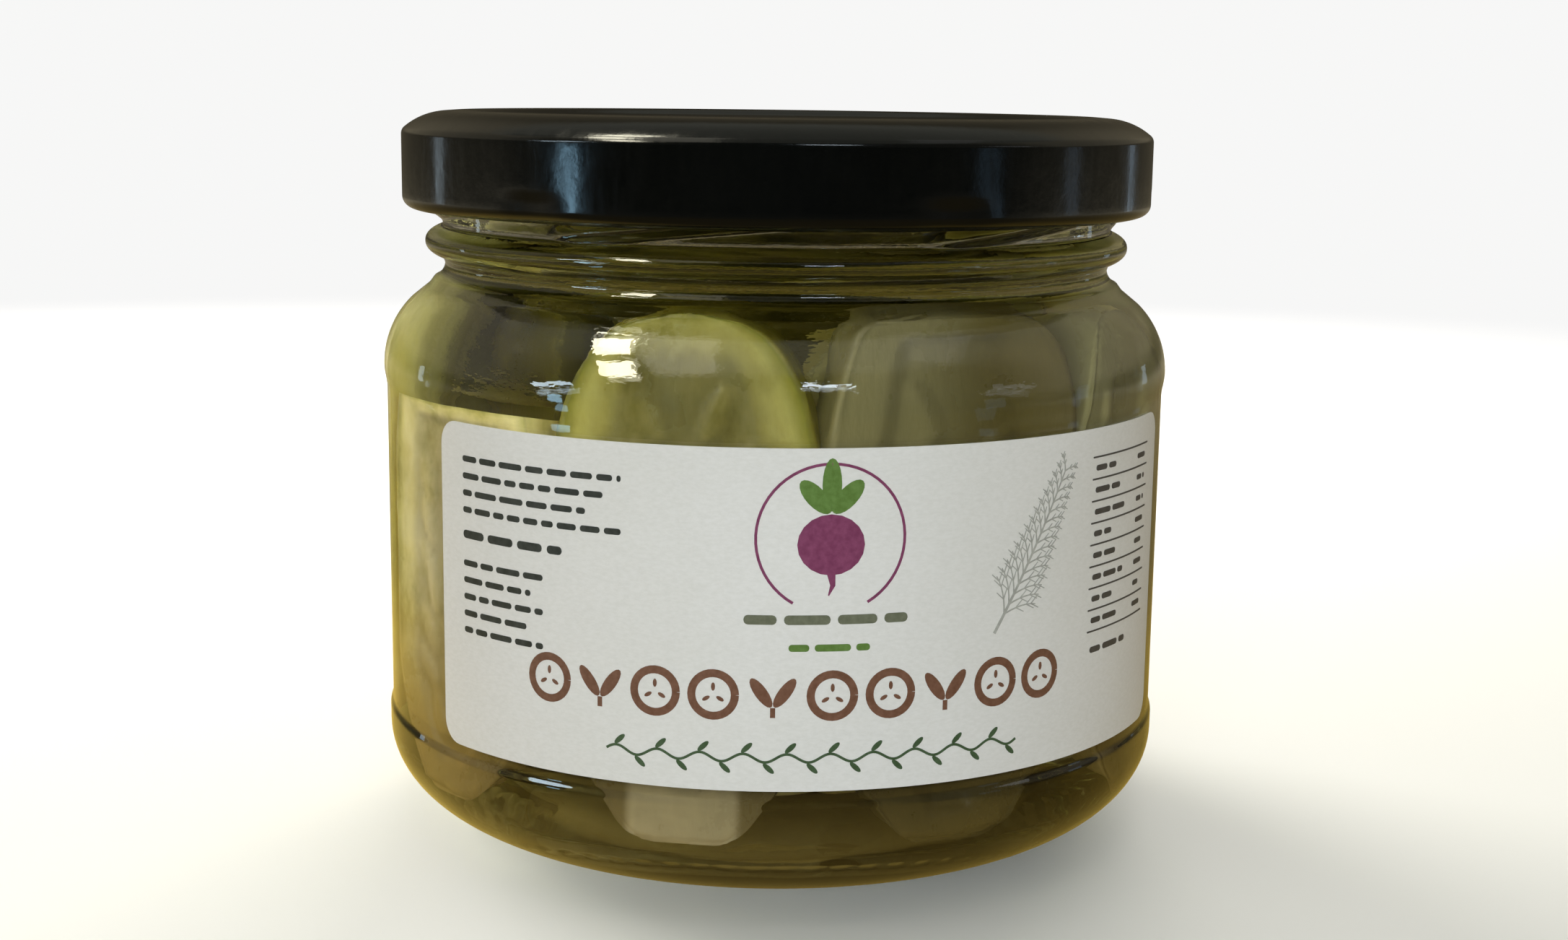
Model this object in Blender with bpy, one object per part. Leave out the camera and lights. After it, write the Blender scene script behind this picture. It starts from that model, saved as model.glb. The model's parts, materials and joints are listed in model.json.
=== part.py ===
"""A shut glass jar of pickled cucumbers with a twist-off lid and a wrap label.

Metres, +Z up. The jar stands on Z = 0 with its axis on the Z axis, and the
label's front faces -Y. The brine has no solid of its own.
"""

import math

import bmesh
import bpy
from mathutils import Matrix, Vector

MM = 0.001
SEGMENTS = 60

# Glass jar, outside
BODY_RADIUS = 44.3 * MM
BEARING_RADIUS = 31.1 * MM
BEARING_WIDTH = 2.2 * MM
PUSH_UP = 2.6 * MM
HEEL_HEIGHT = 10.2 * MM
RECESS_DEPTH = 0.3 * MM
RECESS_BOTTOM = 13.0 * MM
RECESS_TOP = 49.6 * MM
RECESS_STEP = 1.1 * MM
SHOULDER_START = 50.9 * MM
SHOULDER_ARC = 10.0 * MM
SHOULDER_TURN = math.radians(46)
SHOULDER_TOP = 61.0 * MM
GROOVE_RADIUS = 37.4 * MM
BEAD_RADIUS = 39.55 * MM
BEAD_HEIGHT = 64.6 * MM
NECK_RADIUS = 37.6 * MM
MOUTH_HEIGHT = 77.9 * MM

# Glass jar, inside
WALL = 2.2 * MM
FLOOR = 5.0 * MM
INNER_HEEL = 9.0 * MM
THROAT_RADIUS = 34.6 * MM

# Thread lugs on the neck
LUG_COUNT = 6
THREAD_FIRST = math.radians(-34)
THREAD_SPAN = math.radians(52)
THREAD_TIP_HEIGHT = 67.1 * MM
THREAD_RISE = 3.6 * MM
THREAD_DEPTH = 1.2 * MM
THREAD_HALF_WIDTH = 1.0 * MM

# Twist-off lid
LID_RADIUS = 42.0 * MM
LID_BOTTOM = 68.25 * MM
LID_TOP = 78.9 * MM
LID_SHEET = 0.5 * MM
LID_CORNER = 3.6 * MM
PANEL_DROP = 1.15 * MM
PANEL_RADIUS = 33.8 * MM
BUTTON_RADIUS = 9.8 * MM
CURL_RADIUS = 1.35 * MM
LID_LUG_DEPTH = 0.75 * MM
LID_LUG_DENT = 0.3 * MM
LID_LUG_HALF_ANGLE = math.radians(6.75)
LID_LUG_OFFSET = math.radians(-1.5)

# Wrap label, with angles measured from -Y towards +X
LABEL_GAP = 0.3 * MM
LABEL_THICKNESS = 0.25 * MM
LABEL_BOTTOM = 13.9 * MM
LABEL_TOP = 48.0 * MM
LABEL_LEFT = math.radians(-50.5)
LABEL_RIGHT = math.radians(69.0)
LABEL_CORNER = 2.5 * MM

# Pickled cucumbers, cut lengthways, standing round the wall
CORE_RADIUS = 27.0 * MM
CORE_BOTTOM = 6.4 * MM
CORE_TOP = 50.0 * MM
FACE_DISTANCE = 39.2 * MM
INWARD_LEAN = math.radians(2.5)
HEAP_CLEARANCE = 0.5 * MM

# Each cut half: angle from -Y, half width, thickness, foot, top, lean, cut end
HALVES = (
    (-12.5, 13.2, 14.5, 7.3, 59.2, 0.5, 0.0),
    (27.0, 13.8, 15.0, 7.0, 58.6, -1.0, 0.6),
    (68.0, 11.6, 13.0, 7.2, 56.0, 1.0, 0.0),
    (104.0, 12.2, 14.5, 7.0, 54.5, -1.0, 0.0),
    (142.0, 12.8, 14.0, 7.4, 51.0, 0.5, 1.0),
    (182.0, 13.4, 15.0, 7.0, 57.0, -0.5, 0.0),
    (222.0, 12.8, 14.0, 7.2, 55.5, 1.0, 0.0),
    (262.0, 12.8, 11.5, 7.0, 58.0, -0.5, 0.0),
    (305.0, 12.8, 13.5, 7.4, 48.0, 0.5, 1.0),
)


def clear_scene():
    """Remove every object that is already in the file."""
    for item in list(bpy.data.objects):
        bpy.data.objects.remove(item, do_unlink=True)


def material(name, colour, roughness, metallic=0.0, transmission=0.0, alpha=1.0):
    """Make a Principled material."""
    result = bpy.data.materials.new(name)
    result.use_nodes = True
    shader = result.node_tree.nodes["Principled BSDF"]
    shader.inputs["Base Color"].default_value = (*colour, 1.0)
    shader.inputs["Roughness"].default_value = roughness
    shader.inputs["Metallic"].default_value = metallic
    shader.inputs["Transmission Weight"].default_value = transmission
    shader.inputs["Alpha"].default_value = alpha
    return result


def glass_material():
    """Clear jar glass."""
    return material("clear_glass", (0.86, 0.90, 0.84), 0.03, transmission=1.0)


def lid_material():
    """Gloss black lacquer on tinplate."""
    return material("black_lacquer", (0.012, 0.013, 0.013), 0.12)


def label_material():
    """Off-white coated paper."""
    return material("label_paper", (0.80, 0.80, 0.77), 0.45)


def pickle_material():
    """Olive-green pickled cucumber."""
    return material("pickle_flesh", (0.34, 0.33, 0.13), 0.35)


def new_object(name, mesh, surface):
    """Put a mesh in the scene as a named object."""
    result = bpy.data.objects.new(name, mesh)
    bpy.context.scene.collection.objects.link(result)
    mesh.materials.append(surface)
    return result


def around(angle, radius, height):
    """Point at an angle measured from -Y towards +X."""
    return Vector((radius * math.sin(angle), -radius * math.cos(angle), height))


def arc(centre_r, centre_z, radius_r, radius_z, start, end, steps):
    """Profile points (r, z) along an elliptical arc, angles in degrees."""
    points = []
    for step in range(steps + 1):
        turn = math.radians(start + (end - start) * step / steps)
        points.append((centre_r + radius_r * math.cos(turn), centre_z + radius_z * math.sin(turn)))
    return points


def turned_mesh(name, profile, shift):
    """Turn a closed profile, whose first and last points lie on the axis.

    shift(angle, index, radius, height) gives the radius at each vertex.
    """
    shape = bmesh.new()
    first = shape.verts.new((0.0, 0.0, profile[0][1]))
    last = shape.verts.new((0.0, 0.0, profile[-1][1]))
    rings = []
    for index, (radius, height) in enumerate(profile[1:-1]):
        ring = []
        for step in range(SEGMENTS):
            angle = 2 * math.pi * step / SEGMENTS
            ring.append(shape.verts.new(around(angle, shift(angle, index, radius, height), height)))
        rings.append(ring)
    for step in range(SEGMENTS):
        after = (step + 1) % SEGMENTS
        shape.faces.new((first, rings[0][after], rings[0][step]))
        for lower, upper in zip(rings, rings[1:]):
            shape.faces.new((lower[step], lower[after], upper[after], upper[step]))
        shape.faces.new((rings[-1][step], rings[-1][after], last))
    bmesh.ops.recalc_face_normals(shape, faces=shape.faces)
    mesh = bpy.data.meshes.new(name)
    shape.to_mesh(mesh)
    shape.free()
    return mesh


def smooth_shaded(item, limit=math.radians(38)):
    """Shade smooth, but keep edges sharper than the limit."""
    item.data.shade_smooth()
    item.data.set_sharp_from_angle(angle=limit)


def bump(offset, half_width):
    """Rounded bump: 1 in the middle, 0 past the half width."""
    if abs(offset) >= half_width:
        return 0.0
    return math.cos(0.5 * math.pi * offset / half_width) ** 2


def wrapped(angle):
    """Angle brought into -pi to pi."""
    return (angle + math.pi) % (2 * math.pi) - math.pi


def thread_depth(angle, height):
    """How far a thread lug stands out of the neck at this point."""
    depth = 0.0
    for lug in range(LUG_COUNT):
        start = THREAD_FIRST + 2 * math.pi * lug / LUG_COUNT
        along = wrapped(angle - start - THREAD_SPAN / 2) / THREAD_SPAN + 0.5
        if -0.06 < along < 1.06:
            middle = THREAD_TIP_HEIGHT + THREAD_RISE * along
            ends = min(1.0, (along + 0.06) / 0.14, (1.06 - along) / 0.14)
            depth = max(depth, ends * bump(height - middle, 1.35 * THREAD_HALF_WIDTH))
    return THREAD_DEPTH * depth


def jar_outside():
    """Outer profile from the middle of the base up to the lip."""
    shoulder_r = BODY_RADIUS - SHOULDER_ARC
    points = [
        (0.0, PUSH_UP),
        (15.0 * MM, 0.92 * PUSH_UP),
        (25.0 * MM, 0.5 * PUSH_UP),
        (BEARING_RADIUS - BEARING_WIDTH, 0.0),
        (BEARING_RADIUS, 0.0),
    ]
    heel_width = BODY_RADIUS - BEARING_RADIUS
    points += arc(BEARING_RADIUS, HEEL_HEIGHT, heel_width, HEEL_HEIGHT, -78, 0, 6)
    points += [
        (BODY_RADIUS, RECESS_BOTTOM - RECESS_STEP),
        (BODY_RADIUS - RECESS_DEPTH, RECESS_BOTTOM),
        (BODY_RADIUS - RECESS_DEPTH, RECESS_TOP),
    ]
    turn = math.degrees(SHOULDER_TURN)
    points += arc(shoulder_r, SHOULDER_START, SHOULDER_ARC, SHOULDER_ARC, 0, turn, 4)
    points += [
        (GROOVE_RADIUS + 0.5 * MM, SHOULDER_TOP),
        (GROOVE_RADIUS, SHOULDER_TOP + 0.5 * MM),
        (GROOVE_RADIUS, BEAD_HEIGHT - 2.0 * MM),
    ]
    bead_width = BEAD_RADIUS - GROOVE_RADIUS - 0.5 * MM
    points += arc(GROOVE_RADIUS + 0.5 * MM, BEAD_HEIGHT, bead_width, 1.5 * MM, -70, 70, 4)
    return points


def jar_neck():
    """Rows of the neck that carry the thread lugs, then the lip."""
    rows = 7
    low = BEAD_HEIGHT + 1.9 * MM
    high = THREAD_TIP_HEIGHT + THREAD_RISE + 1.5 * MM
    points = [(NECK_RADIUS, low + (high - low) * row / rows) for row in range(rows + 1)]
    points += [
        (NECK_RADIUS, MOUTH_HEIGHT - 1.0 * MM),
        (NECK_RADIUS - 0.7 * MM, MOUTH_HEIGHT),
        (THROAT_RADIUS + 1.2 * MM, MOUTH_HEIGHT),
        (THROAT_RADIUS, MOUTH_HEIGHT - 1.1 * MM),
    ]
    return points


def jar_inside():
    """Inner profile from the throat down to the middle of the floor."""
    inner = BODY_RADIUS - WALL
    turn = math.degrees(SHOULDER_TURN)
    points = [(THROAT_RADIUS, SHOULDER_TOP + 0.6 * MM)]
    points += arc(inner - SHOULDER_ARC, SHOULDER_START - 0.8 * MM, SHOULDER_ARC, SHOULDER_ARC, turn, 0, 4)
    heel_width = inner - 33.0 * MM
    points += arc(33.0 * MM, FLOOR + INNER_HEEL, heel_width, INNER_HEEL, 0, -80, 4)
    points += [(28.0 * MM, FLOOR), (14.0 * MM, FLOOR + 0.6 * MM), (0.0, FLOOR + 0.8 * MM)]
    return points


def make_jar():
    """Glass jar: turned shell with a transfer bead and thread lugs."""
    profile = jar_outside() + jar_neck() + jar_inside()
    low = BEAD_HEIGHT + 1.9 * MM
    high = MOUTH_HEIGHT - 2.0 * MM

    def shift(angle, index, radius, height):
        if low < height < high and radius > 0.5 * (THROAT_RADIUS + NECK_RADIUS):
            return radius + thread_depth(angle, height)
        return radius

    jar = new_object("glass_jar", turned_mesh("glass_jar", profile, shift), glass_material())
    smooth_shaded(jar)
    return jar


def lid_outside():
    """Outer profile of the lid from its middle to the bottom curl."""
    panel = LID_TOP - PANEL_DROP
    points = [
        (0.0, panel + 0.35 * MM),
        (BUTTON_RADIUS - 1.2 * MM, panel + 0.3 * MM),
        (BUTTON_RADIUS, panel),
        (30.0 * MM, panel),
        (31.0 * MM, panel + 0.3 * MM),
        (PANEL_RADIUS, panel + 0.3 * MM),
        (PANEL_RADIUS + 1.8 * MM, LID_TOP - 0.1 * MM),
    ]
    points += arc(LID_RADIUS - LID_CORNER, LID_TOP - LID_CORNER, LID_CORNER, LID_CORNER, 90, 0, 4)
    curl_r = LID_RADIUS - CURL_RADIUS
    curl_z = LID_BOTTOM + CURL_RADIUS
    points += arc(curl_r, curl_z, CURL_RADIUS, CURL_RADIUS, 0, -90, 3)
    return points


def lid_lug(angle):
    """1 in the middle of a lug, 0 between the lugs."""
    share = 0.0
    for lug in range(LUG_COUNT):
        middle = THREAD_FIRST + LID_LUG_OFFSET + 2 * math.pi * lug / LUG_COUNT
        share = max(share, bump(wrapped(angle - middle), LID_LUG_HALF_ANGLE))
    return share


def lid_inside():
    """Inner profile from the curl back to the middle of the panel."""
    panel = LID_TOP - PANEL_DROP - LID_SHEET
    curl_r = LID_RADIUS - CURL_RADIUS
    curl_z = LID_BOTTOM + CURL_RADIUS
    inner = LID_RADIUS - LID_SHEET
    points = arc(curl_r, curl_z, CURL_RADIUS, CURL_RADIUS, -130, -210, 2)
    points += [
        (inner - 0.5 * MM, curl_z + 1.3 * MM),
        (inner, curl_z + 2.0 * MM),
    ]
    corner = LID_CORNER - LID_SHEET
    points += arc(inner - corner, LID_TOP - LID_CORNER, corner, corner, 0, 90, 4)
    points += [
        (PANEL_RADIUS + 2.0 * MM, LID_TOP - LID_SHEET),
        (PANEL_RADIUS, panel + 0.1 * MM),
        (BUTTON_RADIUS, panel),
        (0.0, panel + 0.2 * MM),
    ]
    return points


def make_lid():
    """Twist-off lid with a rolled edge and six lugs turned inwards."""
    outside = lid_outside()
    profile = outside + lid_inside()
    dented_rows = range(len(outside) - 5, len(outside) - 1)
    curl_rows = range(len(outside) - 1, len(outside) + 2)

    def shift(angle, index, radius, height):
        if index in curl_rows:
            return radius - LID_LUG_DEPTH * lid_lug(angle)
        if index in dented_rows:
            return radius - LID_LUG_DENT * lid_lug(angle)
        return radius

    lid = new_object("lid", turned_mesh("lid", profile, shift), lid_material())
    smooth_shaded(lid)
    return lid


def label_outline(columns):
    """Columns of the label as (angle, bottom, top), with rounded corners."""
    corner_angle = LABEL_CORNER / BODY_RADIUS
    turns = [math.radians(90 * step / 3) for step in range(4)]
    result = []
    for turn in turns:
        inset = LABEL_CORNER * (1 - math.sin(turn))
        result.append((LABEL_LEFT + corner_angle * (1 - math.cos(turn)), inset))
    span = LABEL_RIGHT - LABEL_LEFT - 2 * corner_angle
    for step in range(1, columns):
        result.append((LABEL_LEFT + corner_angle + span * step / columns, 0.0))
    for turn in reversed(turns):
        inset = LABEL_CORNER * (1 - math.sin(turn))
        result.append((LABEL_RIGHT - corner_angle * (1 - math.cos(turn)), inset))
    return [(angle, LABEL_BOTTOM + inset, LABEL_TOP - inset) for angle, inset in result]


def make_label():
    """Wrap label: a thin sheet bent round the body."""
    inner = BODY_RADIUS - RECESS_DEPTH + LABEL_GAP
    outer = inner + LABEL_THICKNESS
    rows = 3
    shape = bmesh.new()
    sheets = []
    for radius in (inner, outer):
        columns = []
        for angle, low, high in label_outline(24):
            heights = [low + (high - low) * row / rows for row in range(rows + 1)]
            columns.append([shape.verts.new(around(angle, radius, height)) for height in heights])
        sheets.append(columns)
    inside, outside = sheets
    for left in range(len(inside) - 1):
        for row in range(rows):
            for sheet in sheets:
                shape.faces.new((sheet[left][row], sheet[left + 1][row],
                                 sheet[left + 1][row + 1], sheet[left][row + 1]))
        for row in (0, rows):
            shape.faces.new((inside[left][row], inside[left + 1][row],
                             outside[left + 1][row], outside[left][row]))
    for end in (0, -1):
        for row in range(rows):
            shape.faces.new((inside[end][row], inside[end][row + 1],
                             outside[end][row + 1], outside[end][row]))
    bmesh.ops.recalc_face_normals(shape, faces=shape.faces)
    mesh = bpy.data.meshes.new("label")
    shape.to_mesh(mesh)
    shape.free()
    label = new_object("label", mesh, label_material())
    smooth_shaded(label)
    return label


def inside_radius(height):
    """Radius of the jar's inner wall at a height."""
    profile = jar_inside()
    for upper, lower in zip(profile, profile[1:]):
        if lower[1] <= height <= upper[1]:
            share = (height - lower[1]) / (upper[1] - lower[1])
            return lower[0] + (upper[0] - lower[0]) * share
    return THROAT_RADIUS


def keep_inside(shape):
    """Press in whatever would touch the glass."""
    for vertex in shape.verts:
        limit = inside_radius(vertex.co.z) - HEAP_CLEARANCE
        radius = vertex.co.xy.length
        if radius > limit:
            vertex.co.x *= limit / radius
            vertex.co.y *= limit / radius


def half_section(half_width, thickness, sides):
    """D-shaped section: cut face at +y, rounded skin towards -y."""
    points = []
    for step in range(sides + 1):
        turn = math.pi * step / sides
        x = -half_width * math.cos(turn)
        y = -thickness * math.sin(turn) ** 0.8
        points.append((x, y))
    return points


def half_cucumber(angle, half_width, thickness, foot, top, lean, cut_end):
    """One upright half, its cut face towards the glass.

    cut_end is 0 for a rounded tip and 1 for an end cut straight across.
    """
    section = half_section(half_width, thickness, 8)
    length = top - foot
    levels = (0.0, 0.04, 0.12, 0.35, 0.65, 0.84, 0.94, 0.985, 1.0)
    rounded = (0.45, 0.68, 0.86, 0.98, 1.0, 0.88, 0.66, 0.40, 0.18)
    widths = [width + (max(width, 0.97) - width) * cut_end * (level > 0.5)
              for level, width in zip(levels, rounded)]
    shape = bmesh.new()
    rings = []
    for level, width in zip(levels, widths):
        height = foot + length * level
        ring = [shape.verts.new((x * width, y * width, height)) for x, y in section]
        rings.append(ring)
    count = len(section)
    for lower, upper in zip(rings, rings[1:]):
        for step in range(count):
            after = (step + 1) % count
            shape.faces.new((lower[step], lower[after], upper[after], upper[step]))
    shape.faces.new(reversed(rings[0]))
    shape.faces.new(rings[-1])
    bmesh.ops.recalc_face_normals(shape, faces=shape.faces)
    tilt = Matrix.Rotation(INWARD_LEAN, 4, "X") @ Matrix.Rotation(math.radians(lean), 4, "Y")
    lift = Matrix.Translation((0.0, 0.0, foot))
    shape.transform(lift @ tilt @ lift.inverted())
    turn = Matrix.Rotation(math.radians(angle) - math.pi, 4, "Z")
    shape.transform(turn @ Matrix.Translation((0.0, FACE_DISTANCE, 0.0)))
    keep_inside(shape)
    mesh = bpy.data.meshes.new("half")
    shape.to_mesh(mesh)
    shape.free()
    return mesh


def make_pickles():
    """Heap of cut cucumbers fused onto a plain core."""
    bpy.ops.mesh.primitive_cylinder_add(
        vertices=20,
        radius=CORE_RADIUS,
        depth=CORE_TOP - CORE_BOTTOM,
        location=(0.0, 0.0, 0.5 * (CORE_TOP + CORE_BOTTOM)),
    )
    heap = bpy.context.active_object
    heap.name = "pickles"
    heap.data.name = "pickles"
    heap.data.materials.append(pickle_material())
    heap.data.transform(heap.matrix_world)
    heap.matrix_world = Matrix.Identity(4)
    pieces = bpy.data.collections.new("halves")
    bpy.context.scene.collection.children.link(pieces)
    for angle, half_width, thickness, foot, top, lean, cut_end in HALVES:
        mesh = half_cucumber(angle, half_width * MM, thickness * MM, foot * MM, top * MM, lean, cut_end)
        pieces.objects.link(bpy.data.objects.new("half", mesh))
    union = heap.modifiers.new("fuse", "BOOLEAN")
    union.operation = "UNION"
    union.operand_type = "COLLECTION"
    union.collection = pieces
    union.solver = "EXACT"
    bpy.context.view_layer.objects.active = heap
    heap.select_set(True)
    bpy.ops.object.modifier_apply(modifier=union.name)
    for piece in list(pieces.objects):
        bpy.data.objects.remove(piece, do_unlink=True)
    bpy.data.collections.remove(pieces)
    smooth_shaded(heap)
    return heap


def main():
    """Build every piece of the jar."""
    clear_scene()
    make_jar()
    make_lid()
    make_label()
    make_pickles()


main()
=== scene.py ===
"""Looks of the pickle jar: glass, brine, cut cucumbers, lid, label and its print."""

import json
import math
import random

import bmesh
import bpy
from mathutils import Matrix, Vector, noise

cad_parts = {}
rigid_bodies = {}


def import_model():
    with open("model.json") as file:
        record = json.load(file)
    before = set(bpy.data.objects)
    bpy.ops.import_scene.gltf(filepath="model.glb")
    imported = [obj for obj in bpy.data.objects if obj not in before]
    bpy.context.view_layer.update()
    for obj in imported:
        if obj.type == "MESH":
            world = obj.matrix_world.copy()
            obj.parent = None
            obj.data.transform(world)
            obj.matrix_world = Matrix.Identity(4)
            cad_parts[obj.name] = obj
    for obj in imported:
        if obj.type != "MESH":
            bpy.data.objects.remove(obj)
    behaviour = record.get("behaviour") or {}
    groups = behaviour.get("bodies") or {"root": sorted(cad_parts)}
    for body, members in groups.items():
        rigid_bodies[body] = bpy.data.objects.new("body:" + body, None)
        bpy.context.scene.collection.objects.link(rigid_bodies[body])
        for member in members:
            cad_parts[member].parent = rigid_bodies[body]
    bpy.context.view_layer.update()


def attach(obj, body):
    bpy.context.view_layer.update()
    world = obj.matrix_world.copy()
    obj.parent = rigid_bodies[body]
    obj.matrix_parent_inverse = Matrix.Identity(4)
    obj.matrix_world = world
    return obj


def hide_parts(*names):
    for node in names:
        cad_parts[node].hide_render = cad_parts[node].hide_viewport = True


for leftover in list(bpy.data.objects):
    bpy.data.objects.remove(leftover, do_unlink=True)
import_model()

MM = 0.001

# Glass, the same sizes as the solids
BODY_RADIUS = 44.3
RECESS_DEPTH = 0.3
RECESS_EDGES = ((11.9, 13.0, 1.0, 0.0), (48.4, 50.9, 0.0, 1.0))
SHOULDER_START = (0.050, 0.053)
BEARING_RADIUS = 31.1
HEEL_HEIGHT = 10.2
GROOVE_RADIUS = 37.4
BEAD_RADIUS = 39.55
BEAD_HEIGHT = 64.6
NECK_RADIUS = 37.6
THROAT_RADIUS = 34.6
WALL_RADIUS = 42.1
FLOOR_HEIGHT = 5.0
KNURLS = 68
GLASS_SEGMENTS = 272

# Thread lugs, angles from -Y towards +X
LUG_COUNT = 6
THREAD_FIRST = math.radians(-34)
THREAD_SPAN = math.radians(52)
THREAD_TIP_HEIGHT = 67.1
THREAD_RISE = 3.6
THREAD_DEPTH = 1.2
THREAD_HALF_WIDTH = 1.35

# Lid
LID_RADIUS = 42.0
LID_BOTTOM = 68.25
LID_TOP = 78.9
LID_SHEET = 0.5
LID_CORNER = 3.6
LID_BEND = 1.0
LID_BEND_END = math.radians(50)
LID_BEND_DROP = 2.62
LID_SLOPE_RADIUS = 7.6
CURL_RADIUS = 1.35
LID_LUG_DEPTH = 0.75
LID_LUG_DENT = 0.3
LID_LUG_HALF_ANGLE = math.radians(6.75)
LID_LUG_OFFSET = math.radians(-1.5)
LID_SEGMENTS = 240

# Brine
BRINE_LEVEL = 65.3
BRINE_OVERLAP = 0.12
MENISCUS = 0.7

# Label
LABEL_INNER = 44.12
LABEL_OUTER = 44.26
LABEL_BOTTOM = 13.9
LABEL_TOP = 48.0
LABEL_LEFT = math.radians(-50.5)
LABEL_RIGHT = math.radians(69.0)
LABEL_CORNER = 2.5
INK_THICKNESS = 0.03
BEND_STEP = 1.4
EMBLEM_U = math.radians(7.3) * LABEL_OUTER
EMBLEM_V = 38.6

# Cucumber halves: angle, half width, thickness, foot, top, lean, cut end
FACE_DISTANCE = 39.2
INWARD_LEAN = math.radians(2.5)
HALVES = (
    (-12.5, 13.2, 14.5, 7.3, 59.2, 0.5, 0.0),
    (27.0, 13.8, 15.0, 7.0, 58.6, -1.0, 0.6),
    (68.0, 11.6, 13.0, 7.2, 56.0, 1.0, 0.0),
    (104.0, 12.2, 14.5, 7.0, 54.5, -1.0, 0.0),
    (142.0, 12.8, 14.0, 7.4, 51.0, 0.5, 1.0),
    (182.0, 13.4, 15.0, 7.0, 57.0, -0.5, 0.0),
    (222.0, 12.8, 14.0, 7.2, 55.5, 1.0, 0.0),
    (262.0, 12.8, 11.5, 7.0, 58.0, -0.5, 0.0),
    (305.0, 12.8, 13.5, 7.4, 49.3, 0.5, 1.0),
)

# Tint of the flesh and skin, set lighter or darker per piece as painted light and shade, how far the zones
# blur into one murky tone, and the foot's tone, also lighter or darker per piece as painted light and shade
FLESH_LOOKS = {
    "front": ((1.82, 1.67, 1.20), 0.1, (0.42, 0.34, 0.20)),
    "clear": ((1.1, 1.1, 1.0), 0.1, (0.34, 0.28, 0.15)),
    "murky": ((1.32, 1.22, 0.97), 0.9, (0.07, 0.052, 0.018)),
    "bright": ((5.0, 4.9, 6.0), 0.8, (0.60, 0.45, 0.20)),
    "left": ((3.2, 2.95, 3.5), 0.4, (0.22, 0.15, 0.055)),
    "side": ((2.1, 2.0, 1.8), 0.8, (0.22, 0.16, 0.065)),
    "pale": ((4.4, 4.1, 4.2), 0.85, (0.26, 0.18, 0.07)),
    "inner": ((3.6, 3.4, 3.0), 0.9, (0.45, 0.33, 0.15)),
    "shade": ((1.0, 0.92, 0.42), 1.0, (0.45, 0.33, 0.15)),
    "core": ((0.8, 0.74, 0.5), 0.6, (0.85, 0.70, 0.42)),
}
# Looks of the halves and the inner halves; many of them differ mainly in their painted light and shade
HALF_LOOKS = ("front", "murky", "side", "pale", "clear", "clear", "clear", "bright", "left")
INNER_LOOKS = ("inner", "inner", "inner", "shade")
# Painted shade: from x start to x end (mm) a look fades into its tone times this colour, as if light fell
# off towards that side
DIM_SIDES = {
    "front": ((0.70, 0.70, 0.68), 8.5, 3.0),
    "murky": ((0.46, 0.41, 0.25), 6.0, -5.0),
    "bright": ((0.66, 0.58, 0.17), -8.0, -12.0),
}
# Painted shade over the upper part of a look, between these heights in mm, and its least share on patchy
# looks
DIM_TOP = (47.0, 59.0)
DIM_LEAST = 0.5
PATCHY = ("front", "bright", "left")
FOOT_RISE = {"left": 25.0, "murky": 18.0, "core": 16.0}
PALE_FOOT = 5.4
SEDIMENT = (0.155, 0.115, 0.050)
FOOT_BOTTOM = 4.5
FOOT_TOP = 10.5

# Inner halves: angle, distance of the cut face from the axis, half width, thickness, foot, top
INNER_HALVES = (
    (20.0, 24.5, 11.0, 10.0, 8.0, 52.5),
    (112.0, 23.5, 10.5, 9.5, 8.0, 50.5),
    (200.0, 24.5, 11.0, 10.0, 8.0, 53.0),
    (291.0, 23.5, 10.5, 9.5, 8.0, 51.5),
)
CORE_RADIUS = 25.5
CORE_BOTTOM = 6.5
CORE_TOP = 49.0
CORE_RIBS = 8

# Floor: what the camera sees, what lights the jar, and the wood that only its gloss sees, a glow with
# painted light brighter on the left, a painted shadow under the jar, and darker far off and ahead, in metres
FLOOR_FADE = 0.14
FLOOR_EDGE = 0.62
FLOOR_TONE = (0.88, 0.88, 0.87)
FLOOR_BOUNCE = (0.44, 0.37, 0.27)
WOOD_UNDER = (0.065, 0.045, 0.008)
WOOD_LEFT = (0.80, 0.56, 0.12)
WOOD_RIGHT = (0.40, 0.275, 0.055)
WOOD_FAR = (0.20, 0.145, 0.05)
WOOD_AHEAD = (0.12, 0.088, 0.035)
WOOD_UNDER_EDGE = (0.028, 0.045)
WOOD_NEAR_EDGE = (0.06, 0.16)
WOOD_SIDE_EDGE = (0.03, -0.05)
WOOD_AHEAD_EDGE = (-0.02, -0.07)

# Room seen by the jar, from the front (0) past the sides (0.5) to the back (1)
ROOM_TONES = (
    (0.0, (0.045, 0.044, 0.040)),
    (0.33, (0.12, 0.112, 0.09)),
    (0.52, (0.50, 0.455, 0.34)),
    (0.80, (0.42, 0.37, 0.26)),
    (1.0, (0.34, 0.29, 0.19)),
)
ROOM_ABOVE = 0.25
ROOM_BESIDE = 0.5
CEILING = (0.25, 0.25, 0.21)
CEILING_EDGE = (0.58, 0.72)
BACKDROP = (0.93, 0.93, 0.925, 1.0)

# Camera, in millimetres and degrees
CAMERA_DISTANCE = 244.4
CAMERA_HEIGHT = 81.9
CAMERA_YAW = 0.28
CAMERA_PITCH = 10.19
CAMERA_ROLL = 0.74
CAMERA_LENS = 48.99


def around(angle, radius, height):
    """Point in metres at an angle measured from -Y towards +X."""
    return (radius * math.sin(angle) * MM, -radius * math.cos(angle) * MM, height * MM)


def arc(centre_r, centre_z, radius_r, radius_z, start, end, steps):
    """Profile points (r, z) along an elliptical arc, angles in degrees."""
    points = []
    for step in range(steps + 1):
        turn = math.radians(start + (end - start) * step / steps)
        points.append((centre_r + radius_r * math.cos(turn), centre_z + radius_z * math.sin(turn)))
    return points


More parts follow.
